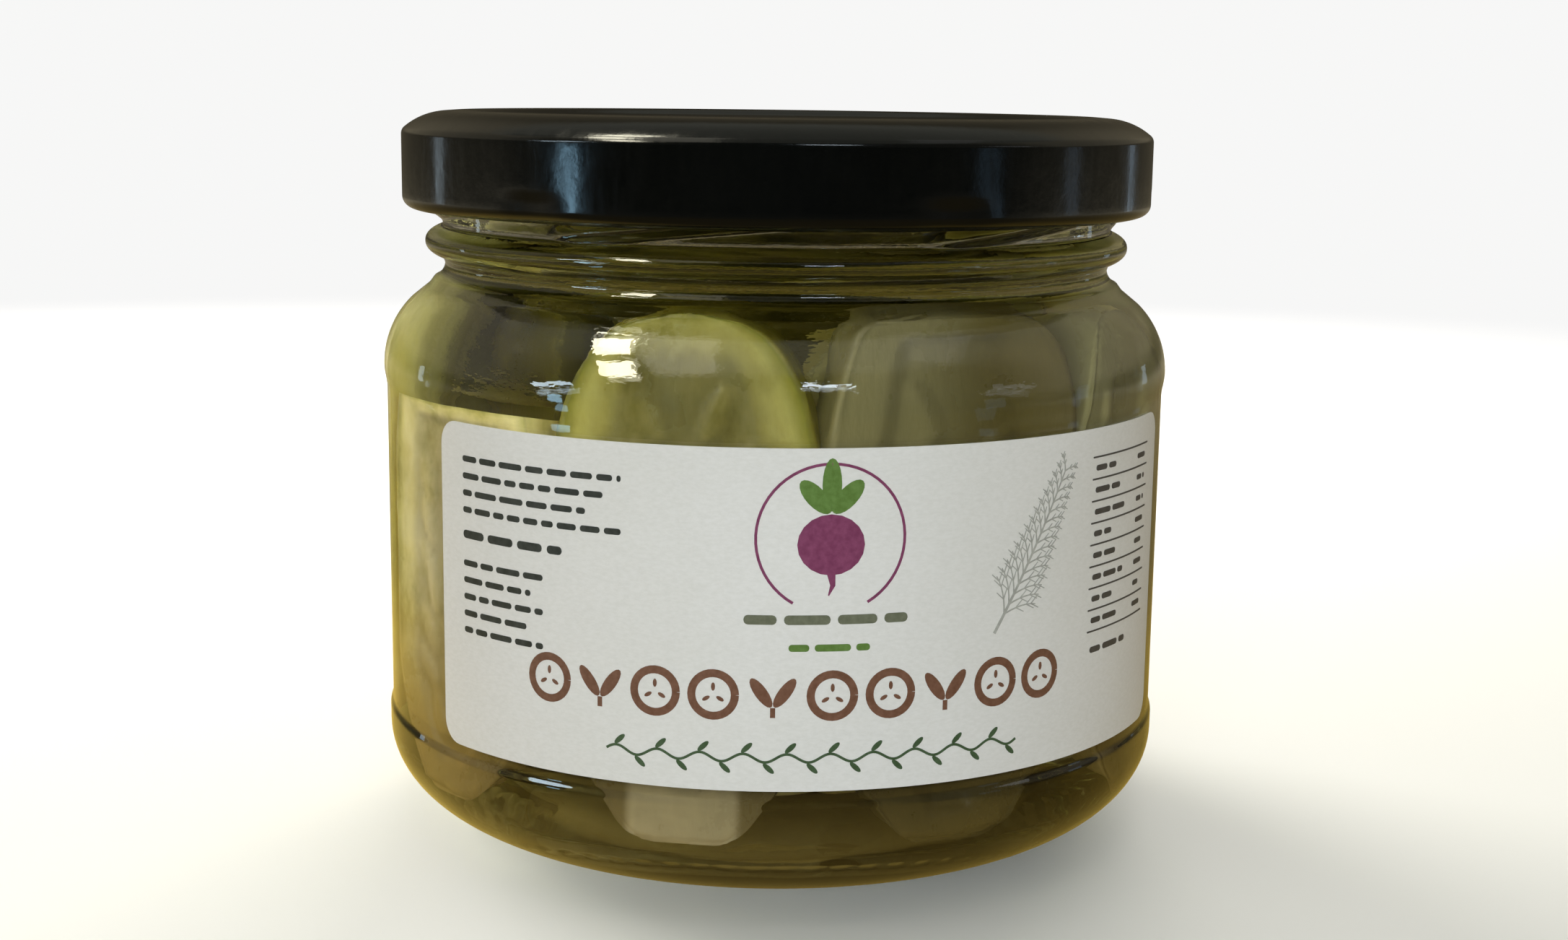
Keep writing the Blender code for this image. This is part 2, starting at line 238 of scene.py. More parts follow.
def line(start, end, steps):
    """Profile points strictly between two points."""
    return [(start[0] + (end[0] - start[0]) * step / steps, start[1] + (end[1] - start[1]) * step / steps)
            for step in range(1, steps)]


def ease(share):
    """Smooth step from 0 to 1."""
    share = min(max(share, 0.0), 1.0)
    return share * share * (3 - 2 * share)


def bump(offset, half_width):
    """Rounded bump: 1 in the middle, 0 past the half width."""
    if abs(offset) >= half_width:
        return 0.0
    return math.cos(0.5 * math.pi * offset / half_width) ** 2


def wrapped(angle):
    """Angle brought into -pi to pi."""
    return (angle + math.pi) % (2 * math.pi) - math.pi


def place(name, mesh, surface, slot, smooth=True):
    """Put a mesh in the scene on the root body, with its finish."""
    piece = bpy.data.objects.new(name, mesh)
    bpy.context.scene.collection.objects.link(piece)
    mesh.materials.append(surface)
    if smooth:
        mesh.shade_smooth()
    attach(piece, "root")
    return piece


def outward(mesh):
    """Turn the faces of a mesh outwards."""
    shape = bmesh.new()
    shape.from_mesh(mesh)
    bmesh.ops.recalc_face_normals(shape, faces=shape.faces)
    shape.to_mesh(mesh)
    shape.free()


def paint_zones(mesh, zones):
    """Keep the flesh, seed and skin zones on the points of a mesh."""
    layer = mesh.color_attributes.new("zones", "FLOAT_COLOR", "POINT")
    for index, zone in enumerate(zones):
        layer.data[index].color = zone


def turned(name, profile, segments, shift=None):
    """Turn a profile whose first and last points lie on the axis.

    shift(angle, radius, height) gives the moved (radius, height) of a point.
    """
    points = [(0.0, 0.0, profile[0][1] * MM)]
    for radius, height in profile[1:-1]:
        for step in range(segments):
            angle = 2 * math.pi * step / segments
            moved = shift(angle, radius, height) if shift else (radius, height)
            points.append(around(angle, *moved))
    points.append((0.0, 0.0, profile[-1][1] * MM))
    rows = len(profile) - 2
    faces = []
    for step in range(segments):
        after = (step + 1) % segments
        faces.append((0, 1 + after, 1 + step))
        for row in range(rows - 1):
            low = 1 + row * segments
            high = low + segments
            faces.append((low + step, low + after, high + after, high + step))
        last = 1 + (rows - 1) * segments
        faces.append((last + step, last + after, len(points) - 1))
    mesh = bpy.data.meshes.new(name)
    mesh.from_pydata(points, [], faces)
    outward(mesh)
    return mesh


class Nodes:
    """Small helper for building the node tree of a material or of the world."""

    def __init__(self, name, world=False):
        self.material = (bpy.data.worlds if world else bpy.data.materials).new(name)
        self.material.use_nodes = True
        self.tree = self.material.node_tree
        self.shader = self.tree.nodes["Background" if world else "Principled BSDF"]
        self.output = self.tree.nodes["World Output" if world else "Material Output"]

    def add(self, kind, **settings):
        """Make a node; settings name its properties or its inputs."""
        node = self.tree.nodes.new("ShaderNode" + kind)
        for key, value in settings.items():
            if key in node.inputs.keys():
                node.inputs[key].default_value = value
            else:
                setattr(node, key, value)
        return node

    def link(self, source, target):
        """Join an output to an input."""
        self.tree.links.new(source, target)

    def maths(self, operation, *values):
        """Result of a Math node; each value is a number or an output."""
        node = self.add("Math", operation=operation)
        for socket, value in zip(node.inputs, values):
            if isinstance(value, bpy.types.NodeSocket):
                self.link(value, socket)
            else:
                socket.default_value = value
        return node.outputs["Value"]

    def choose(self, factor, first, second):
        """Mix of two shaders."""
        node = self.add("MixShader")
        for socket, value in zip(node.inputs, (factor, first, second)):
            self.link(value, socket)
        return node.outputs["Shader"]

    def split(self):
        """X, Y and Z of the object coordinates."""
        node = self.add("SeparateXYZ")
        self.link(self.where(), node.inputs["Vector"])
        return node.outputs["X"], node.outputs["Y"], node.outputs["Z"]

    def where(self):
        """Object coordinates."""
        return self.add("TexCoord").outputs["Object"]

    def stretched(self, scale):
        """Object coordinates scaled by (x, y, z)."""
        mapping = self.add("Mapping")
        mapping.inputs["Scale"].default_value = scale
        self.link(self.where(), mapping.inputs["Vector"])
        return mapping.outputs["Vector"]

    def noise(self, scale, detail=4.0, rough=0.55, vector=None):
        """Noise texture factor; scale is per metre."""
        texture = self.add("TexNoise", Scale=scale, Detail=detail, Roughness=rough)
        self.link(vector or self.where(), texture.inputs["Vector"])
        return texture.outputs["Fac"]

    def ramp(self, factor, *stops):
        """Colour ramp through (position, colour) stops."""
        node = self.add("ValToRGB")
        elements = node.color_ramp.elements
        for position, _ in stops[1:-1]:
            elements.new(position)
        for element, (position, colour) in zip(elements, stops):
            element.position = position
            element.color = (*colour, 1.0)
        self.link(factor, node.inputs["Fac"])
        return node.outputs["Color"]

    def between(self, factor, low, high):
        """Number from low to high as the factor goes from 0.3 to 0.7."""
        node = self.add("MapRange")
        node.inputs["From Min"].default_value = 0.3
        node.inputs["From Max"].default_value = 0.7
        node.inputs["To Min"].default_value = low
        node.inputs["To Max"].default_value = high
        self.link(factor, node.inputs["Value"])
        return node.outputs["Result"]

    def span(self, value, zero, one, first=0.0, last=1.0):
        """Smooth number from first to last as the value goes from zero to one."""
        node = self.add("MapRange", interpolation_type="SMOOTHSTEP")
        flip = zero > one
        node.inputs["From Min"].default_value = min(zero, one)
        node.inputs["From Max"].default_value = max(zero, one)
        node.inputs["To Min"].default_value = last if flip else first
        node.inputs["To Max"].default_value = first if flip else last
        self.link(value, node.inputs["Value"])
        return node.outputs["Result"]

    def mix(self, factor, first, second, blend="MIX"):
        """Mix two colours; each is a colour or an output."""
        node = self.add("Mix", data_type="RGBA", blend_type=blend)
        for key, value in ((0, factor), (6, first), (7, second)):
            if isinstance(value, bpy.types.NodeSocket):
                self.link(value, node.inputs[key])
            elif key == 0:
                node.inputs[key].default_value = value
            else:
                node.inputs[key].default_value = (*value, 1.0)
        return node.outputs[2]

    def relief(self, height, strength, distance, normal=None):
        """Bump node for small relief; distance in metres."""
        node = self.add("Bump", Strength=strength, Distance=distance)
        self.link(height, node.inputs["Height"])
        if normal:
            self.link(normal, node.inputs["Normal"])
        return node.outputs["Normal"]


def clear_surface(name, index, density, colour):
    """Clear solid or liquid, coloured by its depth, that lets lamp light pass straight through."""
    nodes = Nodes(name)
    inputs = nodes.shader.inputs
    inputs["Base Color"].default_value = (1.0, 1.0, 1.0, 1.0)
    inputs["Roughness"].default_value = 0.0
    inputs["IOR"].default_value = index
    inputs["Transmission Weight"].default_value = 1.0
    volume = nodes.add("VolumeAbsorption", Density=density)
    volume.inputs["Color"].default_value = (*colour, 1.0)
    nodes.link(volume.outputs["Volume"], nodes.output.inputs["Volume"])
    shadow = nodes.add("LightPath").outputs["Is Shadow Ray"]
    clear = nodes.add("BsdfTransparent").outputs["BSDF"]
    nodes.link(nodes.choose(shadow, nodes.shader.outputs["BSDF"], clear), nodes.output.inputs["Surface"])
    return nodes


def glass_surface():
    """Clear container glass, a little wavy, faintly green in its depth."""
    nodes = clear_surface("jar_glass_clear", 1.52, 9.0, (0.55, 0.72, 0.50))
    waves = nodes.relief(nodes.noise(70.0, 2.0, 0.4, nodes.stretched((1.0, 1.0, 1.6))), 0.25, 0.0006)
    shoulder = nodes.span(nodes.split()[2], *SHOULDER_START)
    fine = nodes.noise(300.0, 3.0, 0.55, nodes.stretched((1.0, 1.0, 2.6)))
    ripples = nodes.maths("MULTIPLY", shoulder, fine)
    nodes.link(nodes.relief(ripples, 0.5, 0.00007, waves), nodes.shader.inputs["Normal"])
    return nodes.material


def brine_surface():
    """Cloudy olive brine."""
    return clear_surface("brine_olive", 1.34, 40.0, (0.56, 0.55, 0.16)).material


def lid_surface():
    """Gloss black lacquer with faint orange peel, scuffs and dust."""
    nodes = Nodes("lid_black_lacquer")
    shader = nodes.shader
    shader.inputs["IOR"].default_value = 1.5
    tone = nodes.noise(55.0, 3.0)
    nodes.link(nodes.ramp(tone, (0.3, (0.0012, 0.0016, 0.0014)), (0.7, (0.0022, 0.0026, 0.0022))),
               shader.inputs["Base Color"])
    scuffs = nodes.noise(900.0, 5.0, 0.65, nodes.stretched((1.0, 1.0, 0.25)))
    nodes.link(nodes.between(scuffs, 0.09, 0.2), shader.inputs["Roughness"])
    peel = nodes.relief(nodes.noise(420.0, 2.0), 0.12, 0.0002)
    nodes.link(nodes.relief(nodes.noise(2600.0, 2.0), 0.05, 0.0001, peel), shader.inputs["Normal"])
    return nodes.material


def paper_surface():
    """Off-white coated label paper with a fine tooth."""
    nodes = Nodes("label_paper_white")
    fibres = nodes.noise(1500.0, 5.0, 0.6, nodes.stretched((1.0, 1.0, 2.2)))
    cloud = nodes.noise(45.0, 3.0)
    base = nodes.ramp(cloud, (0.3, (0.80, 0.79, 0.76)), (0.7, (0.84, 0.83, 0.81)))
    tint = nodes.ramp(fibres, (0.35, (0.94, 0.94, 0.93)), (0.65, (1.0, 1.0, 1.0)))
    nodes.link(nodes.mix(1.0, base, tint, "MULTIPLY"), nodes.shader.inputs["Base Color"])
    nodes.link(nodes.between(fibres, 0.42, 0.58), nodes.shader.inputs["Roughness"])
    nodes.link(nodes.relief(fibres, 0.18, 0.00006), nodes.shader.inputs["Normal"])
    return nodes.material


def ink_surface(name, colour):
    """Matt printing ink that lets a little paper tooth show."""
    nodes = Nodes(name)
    fibres = nodes.noise(1500.0, 5.0, 0.6)
    lighter = tuple(min(1.0, 1.35 * part + 0.02) for part in colour)
    nodes.link(nodes.ramp(fibres, (0.35, colour), (0.75, lighter)), nodes.shader.inputs["Base Color"])
    nodes.link(nodes.between(fibres, 0.45, 0.6), nodes.shader.inputs["Roughness"])
    return nodes.material


def cucumber_surface(look):
    """Pickled cucumber: green skin, pale flesh and a glassy seed zone.

    The mesh holds where each is: red is the depth under the skin on the cut
    face, green the seeds and blue the skin. The look's tint multiplies all of
    it and is set lighter or darker per piece as painted light and shade; its
    evenness draws the zones towards one murky tone, and its foot is the tone
    of the lower end, in the sediment, also lighter or darker per piece as
    painted light and shade. A look may be patchy, and may carry painted shade
    towards one side: at half strength all over when patchy, and in full
    towards its top otherwise.
    """
    tint, evenness, foot = FLESH_LOOKS[look]
    nodes = Nodes(f"cucumber_{look}")
    zones = nodes.add("Attribute", attribute_name="zones")
    split = nodes.add("SeparateColor")
    nodes.link(zones.outputs["Color"], split.inputs["Color"])
    depth, seeds, skin = split.outputs["Red"], split.outputs["Green"], split.outputs["Blue"]
    mottle = nodes.noise(150.0, 5.0, 0.6)
    face = nodes.ramp(depth,
                      (0.0, (0.09, 0.10, 0.012)),
                      (0.07, (0.18, 0.19, 0.04)),
                      (0.22, (0.30, 0.30, 0.13)),
                      (0.48, (0.27, 0.265, 0.13)),
                      (0.62, (0.20, 0.195, 0.115)),
                      (1.0, (0.17, 0.165, 0.105)))
    cloudy = nodes.ramp(mottle, (0.3, (0.74, 0.74, 0.72)), (0.7, (1.18, 1.15, 1.10)))
    face = nodes.mix(1.0, face, cloudy, "MULTIPLY")
    seeds_tone = nodes.mix(0.5, face, (0.28, 0.265, 0.15))
    face = nodes.mix(seeds, face, seeds_tone)
    streaks = nodes.noise(90.0, 4.0, 0.6, nodes.stretched((2.2, 2.2, 0.35)))
    peel = nodes.ramp(streaks,
                      (0.32, (0.10, 0.10, 0.015)),
                      (0.52, (0.20, 0.19, 0.035)),
                      (0.70, (0.33, 0.31, 0.10)))
    whole = nodes.mix(skin, face, peel)
    whole = nodes.mix(evenness, whole, (0.20, 0.185, 0.11))
    whole = nodes.mix(1.0, whole, tint, "MULTIPLY")
    whole = nodes.mix(1.0, whole, (0.85, 0.83, 0.72), "DARKEN")
    x, _, z = nodes.split()
    if look in PATCHY:
        patches = nodes.noise(140.0, 5.0, 0.6, nodes.stretched((1.0, 1.0, 0.7)))
        patches = nodes.ramp(patches,
                             (0.34, (0.60, 0.58, 0.32)),
                             (0.50, (0.98, 0.96, 0.80)),
                             (0.62, (1.12, 1.12, 1.12)))
        whole = nodes.mix(1.0, whole, patches, "MULTIPLY")
    # Painted shade towards one side, and towards the top, or at half strength all over on patchy looks
    if look in DIM_SIDES:
        dim, start, end = DIM_SIDES[look]
        top = DIM_LEAST if look in PATCHY else nodes.span(z, DIM_TOP[0] * MM, DIM_TOP[1] * MM)
        share = nodes.maths("MAXIMUM", nodes.span(x, start * MM, end * MM), top)
        whole = nodes.mix(share, whole, nodes.mix(1.0, whole, dim, "MULTIPLY"))
    middle = nodes.span(nodes.maths("ABSOLUTE", x), (PALE_FOOT + 0.7) * MM, (PALE_FOOT - 0.5) * MM)
    end = nodes.mix(middle, SEDIMENT if look == "front" else foot, foot)
    end = nodes.mix(1.0, end, cloudy, "MULTIPLY")
    low = nodes.span(z, FOOT_RISE.get(look, FOOT_TOP) * MM, FOOT_BOTTOM * MM)
    nodes.link(nodes.mix(low, whole, end), nodes.shader.inputs["Base Color"])
    nodes.shader.inputs["IOR"].default_value = 1.4
    nodes.link(nodes.between(mottle, 0.22, 0.42), nodes.shader.inputs["Roughness"])
    grain = nodes.noise(1100.0, 3.0, 0.6, nodes.stretched((1.0, 1.0, 0.4)))
    nodes.link(nodes.relief(grain, 0.25, 0.0003), nodes.shader.inputs["Normal"])
    return nodes.material


def floor_surface():
    """Pale floor that fades into the backdrop; the gloss of glass and lacquer sees a glowing warm wood
    instead, with painted light and a painted shadow under the jar.
    """
    nodes = Nodes("pale_floor")
    nodes.shader.inputs["Roughness"].default_value = 0.6
    length = nodes.add("VectorMath", operation="LENGTH")
    nodes.link(nodes.where(), length.inputs[0])
    distance = length.outputs["Value"]
    x, y, _ = nodes.split()
    # Painted light: the glowing wood is brighter on the left; painted shadow: it is dark right under the
    # jar, and it is darker far off and ahead
    near = nodes.mix(nodes.span(x, *WOOD_SIDE_EDGE), WOOD_RIGHT, WOOD_LEFT)
    near = nodes.mix(nodes.span(distance, *WOOD_UNDER_EDGE), WOOD_UNDER, near)
    tone = nodes.mix(nodes.span(distance, *WOOD_NEAR_EDGE), near, WOOD_FAR)
    wood = nodes.add("Emission")
    nodes.link(nodes.mix(nodes.span(y, *WOOD_AHEAD_EDGE), tone, WOOD_AHEAD), wood.inputs["Color"])
    path = nodes.add("LightPath").outputs
    floor = nodes.mix(path["Is Diffuse Ray"], FLOOR_TONE, FLOOR_BOUNCE)
    nodes.link(floor, nodes.shader.inputs["Base Color"])
    plain = nodes.maths("MAXIMUM", path["Is Camera Ray"], path["Is Diffuse Ray"])
    seen = nodes.choose(plain, wood.outputs["Emission"], nodes.shader.outputs["BSDF"])
    clear = nodes.add("BsdfTransparent").outputs["BSDF"]
    faded = nodes.choose(nodes.span(distance, FLOOR_FADE, FLOOR_EDGE), seen, clear)
    nodes.link(faded, nodes.output.inputs["Surface"])
    nodes.material.cycles.emission_sampling = "NONE"
    return nodes.material


def thread_depth(angle, height):
    """How far a thread lug stands out of the neck at this point."""
    depth = 0.0
    for lug in range(LUG_COUNT):
        start = THREAD_FIRST + 2 * math.pi * lug / LUG_COUNT
        along = wrapped(angle - start - THREAD_SPAN / 2) / THREAD_SPAN + 0.5
        if -0.06 < along < 1.06:
            middle = THREAD_TIP_HEIGHT + THREAD_RISE * along
            ends = min(1.0, (along + 0.06) / 0.14, (1.06 - along) / 0.14)
            depth = max(depth, ease(ends) * bump(height - middle, THREAD_HALF_WIDTH))
    return THREAD_DEPTH * depth


def bead_radius(height):
    """Radius of the neck's outside round the transfer bead."""
    across = abs(height - BEAD_HEIGHT) / 1.75
    if across >= 1:
        return GROOVE_RADIUS + 0.12
    return GROOVE_RADIUS + 0.12 + (BEAD_RADIUS - GROOVE_RADIUS - 0.12) * (1 - across ** 2.3) ** 0.8


def glass_outside():
    """Outer profile from the middle of the base up over the lip."""
    hollow = BEARING_RADIUS - 2.2
    points = [(hollow * step / 12, 2.6 * (1 - (step / 12) ** 4)) for step in range(12)]
    points += [(hollow, 0.0), (29.3, 0.0), (29.9, 0.0), (30.5, 0.0), (30.9, 0.0)]
    points += arc(BEARING_RADIUS, HEEL_HEIGHT, BODY_RADIUS - BEARING_RADIUS, HEEL_HEIGHT, -88, 0, 26)
    for low, high, first, last in RECESS_EDGES:
        if last:
            points += line(points[-1], (points[-1][0], low), 6)
        for step in range(9):
            share = ease(step / 8)
            recess = RECESS_DEPTH * (1 - (first + (last - first) * share))
            points.append((BODY_RADIUS - recess, low + (high - low) * step / 8))
    points += arc(BODY_RADIUS - 10.0, 50.9, 10.0, 10.0, 2, 46, 22)
    points += line(points[-1], (38.7, 60.15), 5)
    points += arc(39.6, 62.2, 2.2, 1.9, 245, 180, 8)
    points += [(bead_radius(height), height) for height in (62.5 + 0.16 * step for step in range(24))]
    points += [(NECK_RADIUS, 66.35 + 0.22 * step) for step in range(28)]
    points += line(points[-1], (NECK_RADIUS, 76.6), 4)
    points += arc(NECK_RADIUS - 1.3, 76.6, 1.3, 1.3, 0, 90, 8)
    return points


def inner_profile():
    """Inner profile from the throat down to the middle of the floor."""
    points = arc(THROAT_RADIUS + 0.8, 77.1, 0.8, 0.8, 90, 180, 6)
    for step in range(1, 34):
        height = 77.1 - 15.0 * step / 34
        swell = 0.35 * math.exp(-((height - 64.3) / 1.3) ** 2)
        ripple = swell - 0.15 * math.exp(-((height - 66.6) / 0.8) ** 2)
        points.append((THROAT_RADIUS + ripple, height))
    points += arc(37.4, 62.0, 2.8, 2.2, 180, 225, 8)
    points += arc(WALL_RADIUS - 10.0, 50.1, 10.0, 10.0, 44, 0, 20)
    points += line(points[-1], (WALL_RADIUS, 14.0), 8)
    points += arc(33.0, 14.0, WALL_RADIUS - 33.0, 9.0, 0, -84, 18)
    points += [(31.0 * (1 - step / 12), FLOOR_HEIGHT + 0.8 * (1 - (1 - step / 12) ** 2))
               for step in range(13)]
    return points


def make_glass():
    """Jar glass with thread lugs, transfer bead and a knurled bearing ring."""
    profile = glass_outside() + inner_profile()
    middle_wall = 0.5 * (THROAT_RADIUS + NECK_RADIUS)

    def shift(angle, radius, height):
        if 66.3 < height < 73.0 and radius > middle_wall:
            return radius + thread_depth(angle, height), height
        if height == 0.0 and 29.2 < radius < 31.0:
            return radius, 0.14 - 0.14 * math.cos(KNURLS * angle)
        return radius, height

    mesh = turned("jar_glass", profile, GLASS_SEGMENTS, shift)
    glass = place("jar_glass", mesh, glass_surface(), "glass")
    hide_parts("glass_jar")


def make_brine():
    """Brine up to the neck, reaching just into the wall."""
    inside = []
    for radius, height in inner_profile():
        if height < BRINE_LEVEL:
            drop = 0.0 if radius > 33 else BRINE_OVERLAP
            inside.append((radius + BRINE_OVERLAP if radius > 0 else 0.0, height - drop))
    edge = THROAT_RADIUS + BRINE_OVERLAP + 0.2
    surface = []
    for step in range(20):
        radius = edge * math.sin(0.5 * math.pi * step / 20)
        surface.append((radius, BRINE_LEVEL + MENISCUS * math.exp((radius - edge) / 0.9)))
    profile = surface + [(edge, BRINE_LEVEL + MENISCUS)] + inside
    place("brine", turned("brine", profile, 180), brine_surface(), "glass")


def inside_radius(height):
    """Radius of the jar's inner wall at a height."""
    best = THROAT_RADIUS
    profile = inner_profile()
    for upper, lower in zip(profile, profile[1:]):
        if lower[1] <= height <= upper[1]:
            share = (height - lower[1]) / max(upper[1] - lower[1], 1e-6)
            best = lower[0] + (upper[0] - lower[0]) * share
    return best


INSIDE = [inside_radius(4.0 + 0.25 * step) for step in range(260)]


def wall_limit(height):
    index = int(round((height - 4.0) / 0.25))
    return INSIDE[min(max(index, 0), len(INSIDE) - 1)] - 0.35


def seed_places(rng, half_width, length):
    """Seeds on the cut face: (x, z, tilt) in two uneven rows."""
    places = []
    for side in (-1, 1):
        height = 0.12 * length + rng.uniform(0, 3)
        while height < 0.86 * length:
            reach = side * half_width * rng.uniform(0.20, 0.46)
            places.append((reach, height, side * rng.uniform(0.15, 0.7)))
            height += rng.uniform(3.2, 5.4)
    return places


def outline_width(share, cut_end):
    """Width of a half along its length, 1 at its widest."""
    foot = 0.40 + 0.60 * (1 - (1 - min(share / 0.42, 1.0)) ** 2.4)
    foot *= 0.55 + 0.45 * (1 - (1 - min(share / 0.035, 1.0)) ** 2) ** 0.5
    along = max(0.0, (share - 0.60) / 0.40)
    tip = max(1 - along ** 3.0, 0.0) ** 0.46
    blunt = 1.0 - 0.06 * along ** 4
    return foot * (tip + (blunt - tip) * cut_end)


def half_mesh(name, rng, half_width, thickness, length, cut_end, matrix):
    """One cucumber half in its own frame: x across, +y out of the cut face, z up."""
    rows, skin_steps, face_steps = 84, 44, 40
    seeds = seed_places(rng, half_width, length)
    offset = Vector((rng.uniform(-50, 50), rng.uniform(-50, 50), rng.uniform(-50, 50)))
    ring = skin_steps + face_steps
    back = matrix.inverted()
    points, zones = [], []

    def settle(point, zone):
        world = matrix @ (Vector(point) * MM)
        radius = world.xy.length / MM
        limit = wall_limit(world.z / MM)
        if radius > limit:
            world.x *= limit / radius
            world.y *= limit / radius
        points.append(back @ world)
        zones.append(zone)

    def skin_point(share, width, turn):
        lump = noise.noise(Vector((2 * math.cos(turn), 2 * math.sin(turn), 5 * share)) + offset)
        spot = Vector((9 * math.cos(turn), 9 * math.sin(turn), 14 * share)) + offset
        wart = max(0.0, noise.noise(spot) - 0.25)
        grow = 1 + 0.05 * lump + 0.10 * wart
        x = -width * half_width * math.cos(turn) * grow
        y = -width * thickness * max(math.sin(turn), 0.0) ** 0.8 * grow
        return x, y

    def face_point(across, height, width):
        x = across * half_width * width
        rim = half_width * width * (1 - abs(across))
        end = min(height, length - height) * (2.0 if cut_end else 1.0)
        depth = min(rim, end + 0.8) / 9.0
        zone = ease((depth - 0.5) / 0.3)
        seed = 0.0
        for sx, sz, tilt in seeds:
            dx, dz = x - sx, height - sz
            along = dx * math.sin(tilt) + dz * math.cos(tilt)
            side = dx * math.cos(tilt) - dz * math.sin(tilt)
            seed = max(seed, 1 - (along / 3.1) ** 2 - (side / 1.25) ** 2)
        seed = max(seed, 0.0) * ease((depth - 0.3) / 0.2)
        ripple = noise.noise(Vector((x, height, 0)) * 0.22 + offset)
        y = -0.55 * math.exp(-rim / 0.5) - 0.7 * zone + 0.55 * seed ** 0.5 + 0.22 * ripple
        return (x, y, height), (min(depth, 1.0), min(1.0, 1.6 * seed), 0.0, 1.0)

    for row in range(rows + 1):
        share = 0.5 - 0.5 * math.cos(math.pi * row / rows)
        width = max(outline_width(share, cut_end), 0.04)
        height = length * share
        for step in range(skin_steps + 1):
            x, y = skin_point(share, width, math.pi * step / skin_steps)
            settle((x, y, height), (0.0, 0.0, 1.0, 1.0))
        for step in range(1, face_steps):
            point, zone = face_point(1 - 2 * step / face_steps, height, width)
            settle(point, zone)
    faces = []
    for row in range(rows):
        for step in range(ring):
            after = (step + 1) % ring
            low, high = row * ring, (row + 1) * ring
            faces.append((low + step, low + after, high + after, high + step))
    for row, height in ((0, 0.0), (rows, length)):
        corners = [points[row * ring + step] for step in range(ring)]
        middle = sum(corners, Vector()) / ring
        points.append(middle)
        zones.append((0.5, 0.0, 0.0, 1.0))
        for step in range(ring):
            faces.append((row * ring + step, row * ring + (step + 1) % ring, len(points) - 1))
    mesh = bpy.data.meshes.new(name)
    mesh.from_pydata(points, [], faces)
    paint_zones(mesh, zones)
    outward(mesh)
    return mesh


def add_half(name, mesh, matrix, surface):
    """Put one half in the jar."""
    piece = place(name, mesh, surface, "pickle_flesh")
    piece.matrix_world = matrix
    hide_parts("pickles")


def make_cucumbers():
    """Nine upright halves round the wall, four inside, and a core behind them."""
    looks = {look: cucumber_surface(look) for look in FLESH_LOOKS}
    rng = random.Random(4)
    for index, (angle, half_width, thickness, foot, top, lean, cut_end) in enumerate(HALVES):
        tilt = Matrix.Rotation(INWARD_LEAN, 4, "X") @ Matrix.Rotation(math.radians(lean), 4, "Y")
        turn = Matrix.Rotation(math.radians(angle) - math.pi, 4, "Z")
        matrix = turn @ Matrix.Translation((0.0, FACE_DISTANCE * MM, foot * MM)) @ tilt
        name = f"cucumber_half_{index + 1}"
        mesh = half_mesh(name, rng, half_width, thickness, top - foot, cut_end, matrix)
        add_half(name, mesh, matrix, looks[HALF_LOOKS[index]])
    for index, (angle, distance, half_width, thickness, foot, top) in enumerate(INNER_HALVES):
        turn = Matrix.Rotation(math.radians(angle) - math.pi, 4, "Z")
        matrix = turn @ Matrix.Translation((0.0, distance * MM, foot * MM))
        name = f"cucumber_inner_{index + 1}"
        mesh = half_mesh(name, rng, half_width, thickness, top - foot, 0.0, matrix)
        add_half(name, mesh, matrix, looks[INNER_LOOKS[index]])
    core = place("cucumber_core", core_mesh("cucumber_core"), looks["core"], "pickle_flesh")
    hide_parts("pickles")


def core_mesh(name):
    """Lumpy core that backs the pieces of the heap."""
    profile = [(0.0, CORE_BOTTOM)] + [(CORE_RADIUS * math.sin(0.5 * math.pi * step / 8),
                                       CORE_BOTTOM + 2.0 * (1 - math.cos(0.5 * math.pi * step / 8)))
                                      for step in range(1, 9)]
    profile += line(profile[-1], (CORE_RADIUS, CORE_TOP - 8), 30)
    profile += arc(CORE_RADIUS - 9, CORE_TOP - 8, 9, 8, 0, 90, 10)
    profile += [((CORE_RADIUS - 9) * (1 - step / 8), CORE_TOP) for step in range(1, 9)]

    def shift(angle, radius, height):
        ribs = 0.5 + 0.5 * math.cos(CORE_RIBS * angle + 0.09 * height)
        spot = Vector((radius * math.sin(angle), radius * math.cos(angle), height)) * 0.13
        lump = noise.noise(spot)
        share = radius / CORE_RADIUS
        inwards = share * (3.2 * (1 - ribs) ** 2 + 1.2 * lump)
        return radius - inwards, height + 2.2 * lump * (height > CORE_TOP - 9)

    mesh = turned(name, profile, 144, shift)
    barks = [ease(0.5 + 1.6 * noise.noise(vertex.co * 90)) for vertex in mesh.vertices]
    paint_zones(mesh, [(0.4, 0.0, 0.35 + 0.65 * bark, 1.0) for bark in barks])
    return mesh


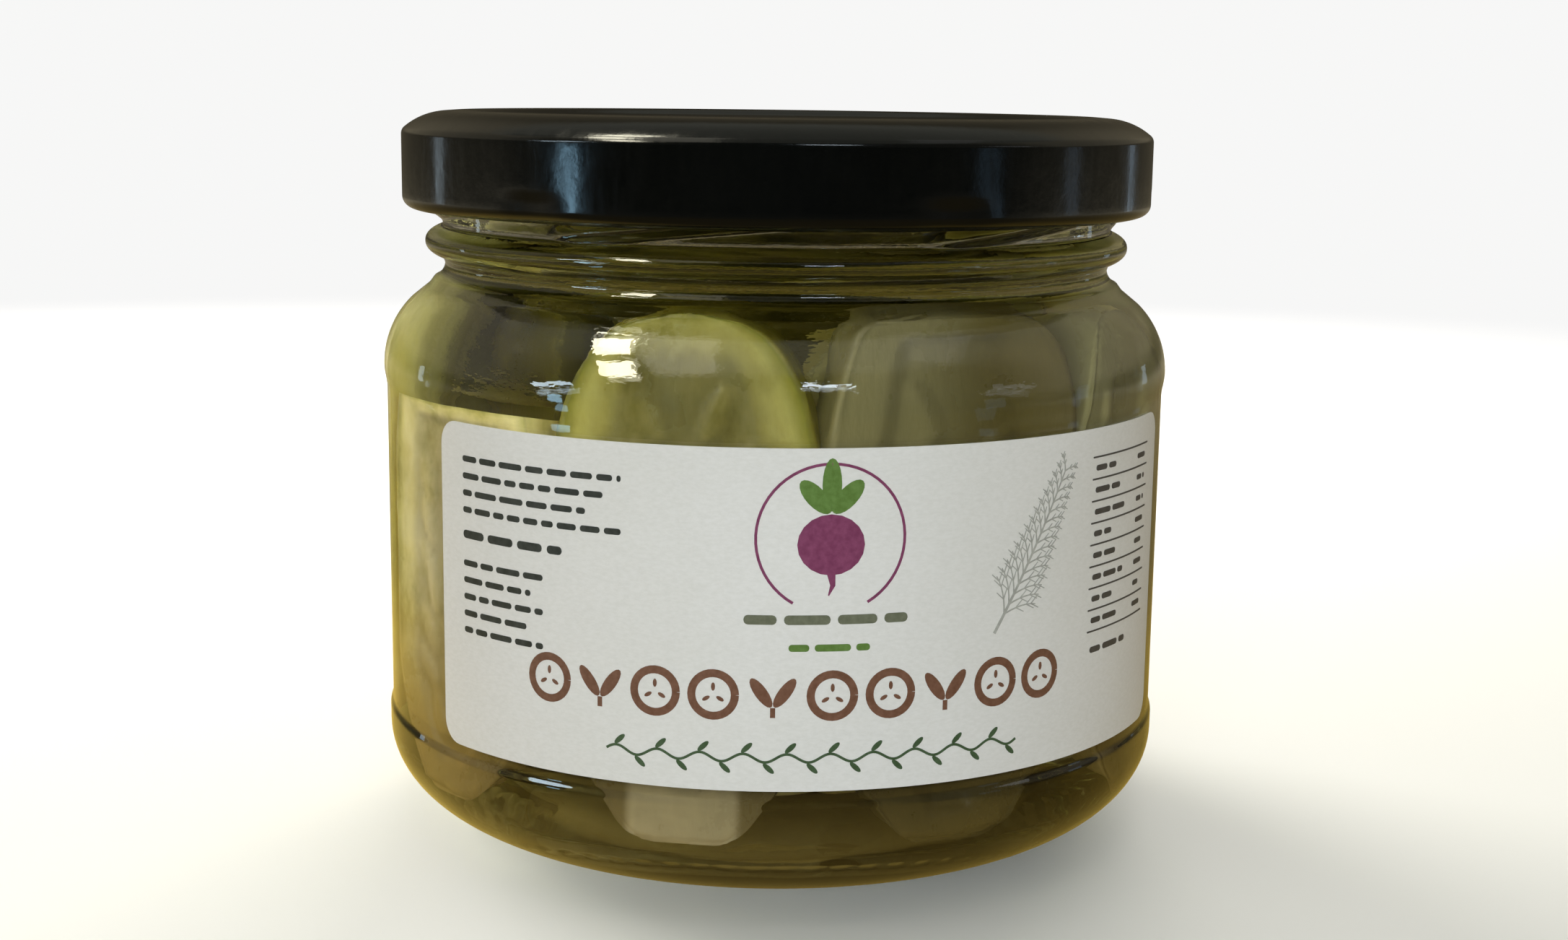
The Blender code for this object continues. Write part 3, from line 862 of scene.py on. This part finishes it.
def lid_outside():
    """Outer profile of the lid from its middle to the bottom curl."""
    panel = LID_TOP - 1.15
    points = [(0.0, panel + 0.35), (4.0, panel + 0.35), (8.0, panel + 0.31)]
    points += [(8.6 + 1.2 * step / 6, panel + 0.3 * (1 - ease(step / 6))) for step in range(7)]
    points += line((9.8, panel), (29.8, panel), 6)
    points += [(29.8 + 1.4 * step / 6, panel + 0.3 * ease(step / 6)) for step in range(7)]
    points += line((31.2, panel + 0.3), (33.4, panel + 0.3), 2)
    points += [(33.4 + 2.6 * step / 10, panel + 0.3 + 0.85 * ease(step / 10)) for step in range(11)]
    bend_z = LID_TOP - LID_BEND_DROP
    slope = LID_SLOPE_RADIUS
    slope_r = LID_RADIUS - LID_BEND + (LID_BEND - slope) * math.cos(LID_BEND_END)
    slope_z = bend_z + (LID_BEND - slope) * math.sin(LID_BEND_END)
    points += arc(slope_r, slope_z, slope, slope, 84, math.degrees(LID_BEND_END), 12)[:-1]
    points += arc(LID_RADIUS - LID_BEND, bend_z, LID_BEND, LID_BEND, math.degrees(LID_BEND_END), 0, 12)
    points += line(points[-1], (LID_RADIUS, LID_BOTTOM + CURL_RADIUS), 12)
    points += arc(LID_RADIUS - CURL_RADIUS, LID_BOTTOM + CURL_RADIUS, CURL_RADIUS, CURL_RADIUS, 0, -90, 12)
    return points


def lid_inside():
    """Inner profile from the curl back to the middle of the panel."""
    panel = LID_TOP - 1.15 - LID_SHEET
    inner = LID_RADIUS - LID_SHEET
    curl_z = LID_BOTTOM + CURL_RADIUS
    points = arc(LID_RADIUS - CURL_RADIUS, curl_z, CURL_RADIUS, CURL_RADIUS, -100, -220, 12)
    points += [(inner - 0.6, curl_z + 1.2), (inner - 0.1, curl_z + 1.8), (inner, curl_z + 2.4)]
    points += line(points[-1], (inner, LID_TOP - LID_CORNER), 8)
    corner = LID_CORNER - LID_SHEET
    points += arc(inner - corner, LID_TOP - LID_CORNER, corner, corner, 0, 90, 10)
    points += [(36.0, LID_TOP - LID_SHEET), (34.6, LID_TOP - 1.0), (33.6, panel + 0.15), (31.0, panel + 0.1),
               (29.0, panel), (10.0, panel), (0.0, panel + 0.2)]
    return points


def lid_lug(angle):
    """1 in the middle of a lug, 0 between the lugs."""
    share = 0.0
    for lug in range(LUG_COUNT):
        middle = THREAD_FIRST + LID_LUG_OFFSET + 2 * math.pi * lug / LUG_COUNT
        share = max(share, bump(wrapped(angle - middle), LID_LUG_HALF_ANGLE))
    return share


def make_lid():
    """Twist-off lid with its rolled edge and lugs."""
    curl_top = LID_BOTTOM + 2 * CURL_RADIUS
    profile = lid_outside() + lid_inside()

    def shift(angle, radius, height):
        if height > curl_top + 0.6:
            return radius, height
        inner = radius < LID_RADIUS - CURL_RADIUS
        low = ease((curl_top + 0.6 - height) / 1.2)
        depth = LID_LUG_DEPTH if inner else LID_LUG_DENT
        return radius - depth * low * lid_lug(angle), height

    lid = place("lid_cap", turned("lid_cap", profile, LID_SEGMENTS, shift), lid_surface(), "lid_lacquer")
    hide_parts("lid")


def wrapped_sheet(name, outline_faces, inner, outer):
    """Bend flat faces, in millimetres along and up, round the jar as a closed sheet."""
    shape = bmesh.new()
    for outline in outline_faces:
        shape.faces.new([shape.verts.new((u, v, 0.0)) for u, v in outline])
    low = min(vertex.co.x for vertex in shape.verts)
    high = max(vertex.co.x for vertex in shape.verts)
    cut = math.ceil(low / BEND_STEP) * BEND_STEP
    while cut < high:
        geometry = shape.verts[:] + shape.edges[:] + shape.faces[:]
        bmesh.ops.bisect_plane(shape, geom=geometry, dist=1e-5, plane_co=(cut, 0, 0), plane_no=(1, 0, 0))
        cut += BEND_STEP
    made = bmesh.ops.extrude_face_region(shape, geom=shape.faces[:])
    raised = {item for item in made["geom"] if isinstance(item, bmesh.types.BMVert)}
    for vertex in shape.verts:
        u, v = vertex.co.x, vertex.co.y
        radius = outer if vertex in raised else inner
        vertex.co = around(u / LABEL_OUTER, radius, v)
    bmesh.ops.recalc_face_normals(shape, faces=shape.faces)
    mesh = bpy.data.meshes.new(name)
    shape.to_mesh(mesh)
    shape.free()
    mesh.shade_smooth()
    mesh.set_sharp_from_angle(angle=math.radians(40))
    return mesh


def rounded_box(left, bottom, right, top, corner, steps=5):
    """Outline of a box with rounded corners."""
    corner = min(corner, 0.499 * (right - left), 0.499 * (top - bottom))
    points = []
    for centre_u, centre_v, start in ((right - corner, bottom + corner, -90),
                                      (right - corner, top - corner, 0),
                                      (left + corner, top - corner, 90),
                                      (left + corner, bottom + corner, 180)):
        points += arc(centre_u, centre_v, corner, corner, start, start + 90, steps)
    return points


def stroke(points, width):
    """Faces of a brush stroke along points; width may taper, (start, end)."""
    first, last = width if isinstance(width, tuple) else (width, width)
    sides = []
    for index, (u, v) in enumerate(points):
        before = points[max(index - 1, 0)]
        after = points[min(index + 1, len(points) - 1)]
        du, dv = after[0] - before[0], after[1] - before[1]
        length = math.hypot(du, dv) or 1.0
        half = 0.5 * (first + (last - first) * index / (len(points) - 1))
        sides.append(((u - dv / length * half, v + du / length * half),
                      (u + dv / length * half, v - du / length * half)))
    return [(a[1], b[1], b[0], a[0]) for a, b in zip(sides, sides[1:])]


def curve_points(start, bend, end, steps=10):
    """Points along a curve that leaves start towards bend and comes in to end."""
    points = []
    for step in range(steps + 1):
        share = step / steps
        points.append(tuple((1 - share) ** 2 * a + 2 * share * (1 - share) * b + share ** 2 * c
                            for a, b, c in zip(start, bend, end)))
    return points


def ring_strokes(centre_u, centre_v, radius_u, radius_v, start, end, width, steps=24):
    """Stroke along an elliptical arc, angles in degrees."""
    return stroke(arc(centre_u, centre_v, radius_u, radius_v, start, end, steps), width)


def oval(centre_u, centre_v, radius_u, radius_v, tilt=0.0, steps=20):
    """Outline of a tilted oval."""
    points = []
    for step in range(steps):
        turn = 2 * math.pi * step / steps
        x, y = radius_u * math.cos(turn), radius_v * math.sin(turn)
        points.append((centre_u + x * math.cos(tilt) - y * math.sin(tilt),
                       centre_v + x * math.sin(tilt) + y * math.cos(tilt)))
    return points


def word_bars(left, right, middle, height, rng, slope=0.0):
    """Rounded bars of word length that stand for a line of small print."""
    bars = []
    u = left
    while u < right - 0.6 * height:
        width = min(rng.uniform(2.2, 5.2) * height, right - u)
        lift = slope * (u - left)
        bars.append(rounded_box(u, middle - 0.5 * height + lift, u + width, middle + 0.5 * height + lift,
                                0.45 * height, 3))
        u += width + 0.75 * height
    return bars


def along(degrees):
    """Distance round the label from its -Y line, for an angle."""
    return math.radians(degrees) * LABEL_OUTER


def left_text(rng):
    """Small dark print at the left of the label."""
    faces = []
    for row in range(4):
        faces += word_bars(along(-45.5), along(-19.5 - 2.5 * (row % 3)), 44.4 - 1.75 * row, 0.62, rng)
    faces += word_bars(along(-45.5), along(-28.0), 36.6, 0.85, rng)
    for row in range(5):
        faces += word_bars(along(-45.5), along(-31.0 - 2.0 * (row % 2)), 33.6 - 1.75 * row, 0.62, rng)
    return faces


def right_table(rng):
    """Small ruled table at the right of the label."""
    faces = []
    for row in range(9):
        height = 45.0 - 2.3 * row
        faces.append(rounded_box(along(47.5), height - 0.09, along(64.5), height + 0.09, 0.08, 2))
    for row in range(8):
        height = 43.85 - 2.3 * row
        faces += word_bars(along(48.3), along(53.5 + 1.5 * (row % 3)), height, 0.6, rng)
        faces += word_bars(along(60.5), along(63.4), height, 0.55, rng)
    faces += word_bars(along(48.3), along(58.0), 24.6, 0.65, rng)
    return faces


def title_band():
    """Brown band of slices and leaf pairs where the title goes."""
    faces = []
    pitch = (along(38.0) - along(-30.0)) / 9
    for index in range(10):
        u = along(-30.0) + pitch * index
        if index % 3 == 1:
            for side in (-1, 1):
                faces.append(oval(u + side * 1.15, 23.9, 0.62, 1.75, -side * 0.62, 18))
            faces += stroke([(u, 22.4), (u, 21.4)], 0.5)
            continue
        faces += ring_strokes(u, 23.6, 2.15, 2.15, 0, 360, 0.8, 32)
        for turn in (90, 210, 330):
            way = math.radians(turn)
            faces.append(oval(u + 0.8 * math.cos(way), 23.6 + 0.8 * math.sin(way), 0.42, 0.2, way, 12))
    return faces


def green_vine():
    """Thin dark green vine under the title."""
    left, right = along(-21.5), along(34.0)
    points = [(left + (right - left) * step / 160, 17.3 + 0.42 * math.sin(2 * math.pi * step / 16))
              for step in range(161)]
    faces = stroke(points, 0.26)
    for step in range(4, 160, 8):
        u, v = points[step]
        side = 1 if step % 16 == 4 else -1
        faces.append(oval(u + 0.35, v + side * 0.62, 0.72, 0.27, side * 0.75, 14))
    return faces


def emblem_leaves():
    """Green leaves of the round emblem."""
    faces = []
    for tilt, reach in ((-0.75, 4.2), (0.0, 5.2), (0.75, 4.2)):
        centre_u = EMBLEM_U + 0.55 * reach * math.sin(tilt)
        centre_v = EMBLEM_V + 3.0 + 0.55 * reach * math.cos(tilt)
        faces.append(oval(centre_u, centre_v, 0.95, 0.5 * reach, -tilt))
    faces += word_bars(EMBLEM_U - 4.0, EMBLEM_U + 4.0, 28.4, 0.7, random.Random(8))
    return faces


def emblem_root():
    """Purple root and the thin ring round it."""
    faces = [oval(EMBLEM_U, EMBLEM_V, 3.3, 3.0)]
    tail = [(EMBLEM_U + u, EMBLEM_V + v) for u, v in ((0.0, -2.6), (0.2, -4.0), (-0.2, -5.0))]
    faces += stroke(tail, (0.9, 0.12))
    faces += ring_strokes(EMBLEM_U, EMBLEM_V + 0.6, 7.3, 7.3, -60, 240, 0.28, 48)
    return faces


def emblem_lines(rng):
    """Olive-grey line under the emblem."""
    return word_bars(EMBLEM_U - 8.4, EMBLEM_U + 8.4, 31.2, 0.95, rng)


def sprig():
    """Thin grey dill sprig drawn beside the emblem."""
    stem = curve_points((along(30.0), 28.6), (along(36.0), 36.0), (along(41.5), 44.2), 16)
    faces = stroke(stem, (0.34, 0.16))
    for index in range(2, len(stem)):
        u, v = stem[index]
        for side in (-1, 1):
            reach = 4.4 * (1 - 0.62 * index / len(stem))
            turn = math.atan2(0.9, 0.6) + side * 0.85
            tip = (u + reach * math.cos(turn), v + reach * math.sin(turn))
            curl = turn - 0.25 * side
            bend = (u + 0.6 * reach * math.cos(curl), v + 0.6 * reach * math.sin(curl))
            twig = curve_points((u, v), bend, tip, 6)
            faces += stroke(twig, (0.17, 0.10))
            for joint in (2, 4, 5):
                cu, cv = twig[joint]
                for way in (-1, 1):
                    small = turn + way * 0.6
                    faces += stroke([(cu, cv), (cu + 0.28 * reach * math.cos(small),
                                                cv + 0.28 * reach * math.sin(small))], (0.13, 0.09))
    return faces


def make_label():
    """Paper label and its print, each colour of ink a thin raised layer."""
    outline = rounded_box(along(math.degrees(LABEL_LEFT)), LABEL_BOTTOM, along(math.degrees(LABEL_RIGHT)),
                          LABEL_TOP, LABEL_CORNER, 8)
    paper = place("label_paper", wrapped_sheet("label_paper", [outline], LABEL_INNER, LABEL_OUTER),
                  paper_surface(), "label_paper", smooth=False)
    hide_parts("label")
    rng = random.Random(11)
    layers = (
        ("print_black", (0.025, 0.03, 0.025), left_text(rng)),
        ("print_table", (0.06, 0.055, 0.05), right_table(rng)),
        ("print_title", (0.155, 0.068, 0.038), title_band()),
        ("print_green", (0.045, 0.085, 0.035), green_vine()),
        ("print_leaf", (0.10, 0.19, 0.035), emblem_leaves()),
        ("print_purple", (0.19, 0.035, 0.10), emblem_root()),
        ("print_olive", (0.13, 0.14, 0.09), emblem_lines(rng)),
        ("print_sprig", (0.36, 0.36, 0.33), sprig()),
    )
    for name, colour, faces in layers:
        mesh = wrapped_sheet(name, faces, LABEL_OUTER - 0.01, LABEL_OUTER + INK_THICKNESS)
        place(name, mesh, ink_surface(name, colour), "label_paper", smooth=False)


def make_floor():
    """Pale floor disc under the jar."""
    bpy.ops.mesh.primitive_circle_add(vertices=96, radius=FLOOR_EDGE, fill_type="NGON",
                                      location=(0, 0, -0.0001))
    floor = bpy.context.active_object
    floor.name = "floor"
    floor.data.materials.append(floor_surface())


def make_world():
    """Pale backdrop for the camera and a dimmer room for reflections."""
    nodes = Nodes("studio", world=True)
    bpy.context.scene.world = nodes.material
    place = nodes.add("SeparateXYZ")
    nodes.link(nodes.add("TexCoord").outputs["Generated"], place.inputs["Vector"])
    height = place.outputs["Z"]
    tones = nodes.ramp(nodes.maths("MULTIPLY_ADD", place.outputs["Y"], 0.5, 0.5), *ROOM_TONES)
    beside = nodes.span(nodes.maths("ABSOLUTE", place.outputs["X"]), 0.2, 0.5)
    lift = nodes.maths("MULTIPLY", beside, nodes.span(height, 0.02, 0.14, 0.0, ROOM_BESIDE))
    level = nodes.maths("ADD", nodes.span(height, -0.12, -0.03, 1.0, ROOM_ABOVE), lift)
    scaled = nodes.add("VectorMath", operation="SCALE")
    nodes.link(tones, scaled.inputs[0])
    nodes.link(level, scaled.inputs["Scale"])
    room = nodes.mix(nodes.span(height, *CEILING_EDGE), scaled.outputs["Vector"], CEILING)
    nodes.link(room, nodes.shader.inputs["Color"])
    backdrop = nodes.add("Background", Color=BACKDROP)
    camera = nodes.add("LightPath").outputs["Is Camera Ray"]
    seen = nodes.choose(camera, nodes.shader.outputs["Background"], backdrop.outputs["Background"])
    nodes.link(seen, nodes.output.inputs["Surface"])


def softbox(name, azimuth, elevation, distance, size, power, colour, kind="fill", roll=0.0):
    """Area lamp that faces the jar's middle; angles from -Y towards +X.

    A fill lights surfaces without showing in the gloss. A window shows only
    in the gloss of glass and lacquer.
    """
    lamp = bpy.data.lights.new(name, "AREA")
    lamp.shape = "RECTANGLE"
    lamp.size, lamp.size_y = size
    lamp.energy = power
    lamp.color = colour
    light = bpy.data.objects.new(name, lamp)
    bpy.context.scene.collection.objects.link(light)
    turn, lift = math.radians(azimuth), math.radians(elevation)
    way = Vector((math.sin(turn) * math.cos(lift), -math.cos(turn) * math.cos(lift), math.sin(lift)))
    facing = way.to_track_quat("Z", "Y").to_matrix().to_4x4() @ Matrix.Rotation(math.radians(roll), 4, "Z")
    light.matrix_world = Matrix.Translation(Vector((0, 0, 0.045)) + way * distance) @ facing
    light.visible_glossy = kind != "fill"
    light.visible_transmission = kind != "fill"
    light.visible_diffuse = kind != "window"


def make_lights():
    """Soft studio light: fills from the front and sides, and small windows that the gloss shows."""
    softbox("front_fill", -3, 12, 0.75, (0.50, 0.40), 3.75, (0.87, 0.95, 1.0))
    softbox("left_fill", -140, 12, 0.70, (0.40, 0.40), 9.0, (1.0, 0.97, 0.88))
    softbox("right_fill", 168, 12, 0.70, (0.40, 0.40), 5.0, (1.0, 0.97, 0.90))
    softbox("top_fill", 180, 78, 0.80, (0.6, 0.6), 1.8, (1.0, 0.98, 0.90))
    softbox("key_low", -48.6, 33.4, 0.60, (0.095, 0.17), 1.0, (1.0, 0.95, 0.74), "window", 28)
    softbox("key_middle", -68.3, 54, 0.60, (0.095, 0.20), 1.25, (1.0, 0.95, 0.74), "window", 42)
    softbox("key_high", -108.5, 66.3, 0.60, (0.095, 0.12), 0.6, (1.0, 0.95, 0.74), "window", 77)
    softbox("key_veil", -44, 59.5, 0.60, (0.19, 0.60), 0.30, (1.0, 0.95, 0.78), "window", 31)
    softbox("left_bars", -63.5, 13, 0.62, (0.15, 0.04), 0.24, (0.70, 0.88, 1.0), "window", 24)
    softbox("left_low", -61, -1, 0.62, (0.05, 0.07), 0.085, (0.42, 0.75, 1.0), "window")
    softbox("back_left_low", -117, -1, 0.70, (0.035, 0.10), 0.02, (0.70, 0.88, 1.0), "window")
    softbox("back_left_high", -106, 40, 0.70, (0.05, 0.45), 0.006, (1.0, 0.95, 0.85), "window", 70)
    softbox("front_window", 15, 27, 0.60, (0.14, 0.03), 0.22, (0.78, 0.90, 1.0), "window")
    softbox("right_window", 77, 58, 0.70, (0.17, 0.50), 0.05, (0.95, 0.95, 1.0), "window", -55)
    softbox("right_bars", 70, 13.5, 0.70, (0.18, 0.045), 0.022, (0.85, 0.92, 1.0), "window", -20)
    softbox("right_low", 62, -1, 0.70, (0.08, 0.10), 0.010, (0.45, 0.72, 1.0), "window")
    softbox("back_right_low", 94, -1, 0.70, (0.06, 0.10), 0.010, (0.55, 0.75, 1.0), "window")
    softbox("far_right_low", 129, -1, 0.70, (0.05, 0.10), 0.012, (0.60, 0.80, 1.0), "window")


def make_camera():
    """Camera at the photograph's viewing angle."""
    data = bpy.data.cameras.new("camera")
    data.lens = CAMERA_LENS
    data.sensor_width = 36.0
    data.clip_start = 0.01
    camera = bpy.data.objects.new("camera", data)
    bpy.context.scene.collection.objects.link(camera)
    yaw, pitch, roll = (math.radians(turn) for turn in (CAMERA_YAW, CAMERA_PITCH, CAMERA_ROLL))
    ahead = Vector((math.sin(yaw) * math.cos(pitch), math.cos(yaw) * math.cos(pitch), -math.sin(pitch)))
    level = Vector((math.cos(yaw), -math.sin(yaw), 0.0))
    above = level.cross(ahead)
    right = level * math.cos(roll) + above * math.sin(roll)
    up = above * math.cos(roll) - level * math.sin(roll)
    turned_to = Matrix((right, up, -ahead)).transposed().to_4x4()
    camera.matrix_world = Matrix.Translation((0.0, -CAMERA_DISTANCE * MM, CAMERA_HEIGHT * MM)) @ turned_to
    bpy.context.scene.camera = camera


def set_view():
    """Plain colours and enough bounces for glass in glass."""
    scene = bpy.context.scene
    scene.view_settings.view_transform = "Standard"
    scene.cycles.max_bounces = 16
    scene.cycles.transmission_bounces = 16
    scene.cycles.transparent_max_bounces = 16
    scene.cycles.sample_clamp_indirect = 4.0


make_camera()
make_world()
make_floor()
make_lights()
make_glass()
make_brine()
make_cucumbers()
make_lid()
make_label()
set_view()
